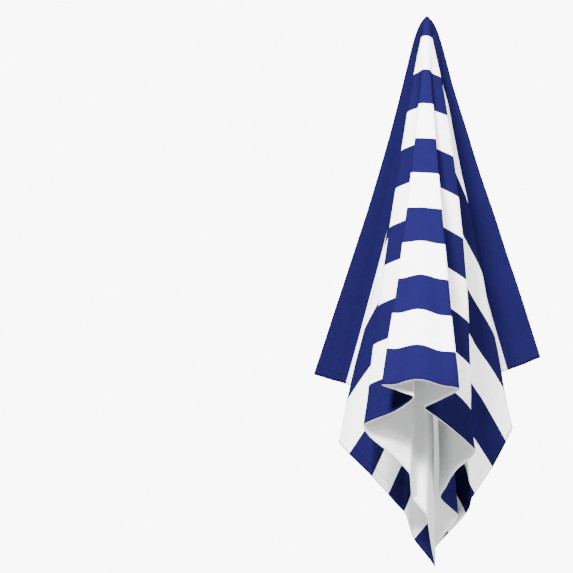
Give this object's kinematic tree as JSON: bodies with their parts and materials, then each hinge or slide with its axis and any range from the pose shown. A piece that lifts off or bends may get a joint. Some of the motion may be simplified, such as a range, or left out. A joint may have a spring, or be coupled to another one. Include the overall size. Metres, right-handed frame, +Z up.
{
  "type": "beach towel",
  "caption": "Striped velour beach towel hanging from one point near the middle of a long edge, falling in deep folds.",
  "frame": {"origin": "the point that the towel hangs from, at the top of the gathered cloth", "axes": "+Z up, -Y towards the viewer and the printed face, +X to the viewer's right"},
  "size_m": [0.4384, 0.5613, 1.0471],
  "materials": {
    "terry_cloth": "navy and white stripes on the printed velour face, plain white loop pile on the back, matt"
  },
  "bodies": {
    "root": {"towel": "terry_cloth"}
  },
  "joints": []
}
